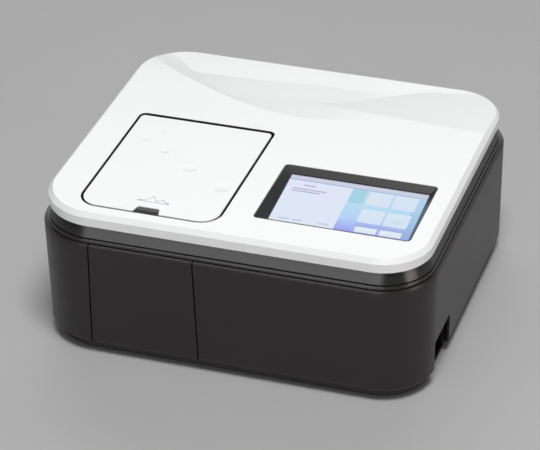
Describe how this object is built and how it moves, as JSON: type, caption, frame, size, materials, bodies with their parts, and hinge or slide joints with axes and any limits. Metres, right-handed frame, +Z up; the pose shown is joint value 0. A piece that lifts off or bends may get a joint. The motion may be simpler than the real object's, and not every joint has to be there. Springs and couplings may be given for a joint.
{
  "type": "spectrophotometer",
  "caption": "Benchtop spectrophotometer: low black casing with rounded corners, sculpted white top with a hinged sample lid and a recessed touch screen, full optics and drives inside",
  "frame": {"origin": "on the bench, under the middle of the instrument's outline", "axes": "+X to the operator's right, +Y to the rear, +Z up; the front faces -Y"},
  "size_m": [0.442, 0.391, 0.175],
  "materials": {
    "white_cover": "smooth satin white moulding",
    "black_casing": "fine textured black moulding",
    "dark_trim": "smooth dark grey plastic",
    "chamber_black": "deep matt black, keeps out stray light",
    "rubber": "soft black rubber",
    "steel": "bright steel",
    "cast_alloy": "bead blasted aluminium",
    "anodised": "black anodised aluminium",
    "brass": "turned brass",
    "optic_glass": "polished quartz",
    "mirror": "front silvered",
    "screen_glass": "glossy touch glass",
    "lcd": "lit colour screen",
    "circuit_board": "green solder mask",
    "supply_case": "plated sheet case",
    "rear_metal": "powder coated sheet"
  },
  "bodies": {
    "instrument": {"base_pan": "black_casing", "carriage_motor": "anodised", "case_screws": "steel", "chamber_seal": "rubber", "collimating_mirror": "mirror", "detector_board": "circuit_board", "detector_housing": "anodised", "detector_lens": "optic_glass", "deuterium_lamp": "optic_glass", "display_bezel": "dark_trim", "display_board": "circuit_board", "fan_frame": "dark_trim", "filter_motor": "anodised", "focusing_mirror": "mirror", "grating_motor": "anodised", "guide_rod_left": "steel", "guide_rod_right": "steel", "hinge_bracket_left": "steel", "hinge_bracket_right": "steel", "hinge_pin": "steel", "lamp_housing": "cast_alloy", "lcd_module": "lcd", "lid_strikes": "steel", "lid_well": "chamber_black", "main_board": "circuit_board", "mono_cover": "anodised", "mono_housing": "anodised", "optics_base": "cast_alloy", "outer_casing": "black_casing", "power_inlet": "dark_trim", "power_supply": "supply_case", "rear_panel": "rear_metal", "rubber_feet": "rubber", "sample_chamber": "chamber_black", "side_port_pocket": "dark_trim", "source_motor": "anodised", "switch_body": "dark_trim", "top_frame": "black_casing", "top_plate": "white_cover", "touch_glass": "screen_glass", "tungsten_lamp": "optic_glass", "usb_side_port": "steel", "window_left": "optic_glass", "window_right": "optic_glass"},
    "lid": {"sample_lid": "white_cover", "lid_finger_pull": "dark_trim", "lid_inner_pan": "chamber_black", "lid_lug_left": "steel", "lid_lug_right": "steel", "lid_magnets": "steel"},
    "service_panel": {"front_panel": "black_casing"},
    "carriage": {"cell_carriage": "chamber_black", "carriage_nut": "brass"},
    "screw": {"lead_screw": "steel"},
    "turntable": {"grating_turntable": "steel", "diffraction_grating": "mirror"},
    "filters": {"filter_wheel": "anodised"},
    "flip_mirror": {"source_mirror": "mirror"},
    "rotor": {"fan_rotor": "dark_trim"},
    "rocker": {"switch_rocker": "dark_trim"}
  },
  "joints": [
    {"name": "lid_hinge", "type": "hinge", "parent": "instrument", "child": "lid", "pos_m": [-0.091, 0.0117, 0.168], "axis": [-1, 0, 0], "range_deg": [0, 88]},
    {"name": "front_panel_pull", "type": "slide", "parent": "instrument", "child": "service_panel", "axis": [0, -1, 0], "range_m": [0, 0.06]},
    {"name": "carriage_slide", "type": "slide", "parent": "instrument", "child": "carriage", "axis": [0, 1, 0], "range_m": [-0.018, 0.036]},
    {"name": "lead_screw_spin", "type": "hinge", "parent": "instrument", "child": "screw", "pos_m": [-0.091, -0.082, 0.062], "axis": [0, 1, 0], "range_deg": [-540, 1080]},
    {"name": "grating_turn", "type": "hinge", "parent": "instrument", "child": "turntable", "pos_m": [0.085, -0.1, 0.07], "axis": [0, 0, 1], "range_deg": [-35, 35]},
    {"name": "filter_wheel_spin", "type": "hinge", "parent": "instrument", "child": "filters", "pos_m": [0.128, -0.018, 0.094], "axis": [1, 0, 0], "continuous": true},
    {"name": "source_mirror_flip", "type": "hinge", "parent": "instrument", "child": "flip_mirror", "pos_m": [0.163, 0, 0.09], "axis": [0, 0, 1], "range_deg": [-45, 45]},
    {"name": "fan_spin", "type": "hinge", "parent": "instrument", "child": "rotor", "pos_m": [0.1, 0.1788, 0.074], "axis": [0, 1, 0], "continuous": true},
    {"name": "power_rocker", "type": "hinge", "parent": "instrument", "child": "rocker", "pos_m": [-0.082, 0.1878, 0.044], "axis": [1, 0, 0], "range_deg": [0, 18]}
  ],
  "couplings": [
    {"joint": "lead_screw_spin", "follows": "carriage_slide", "rad_per_m": 523.6}
  ]
}
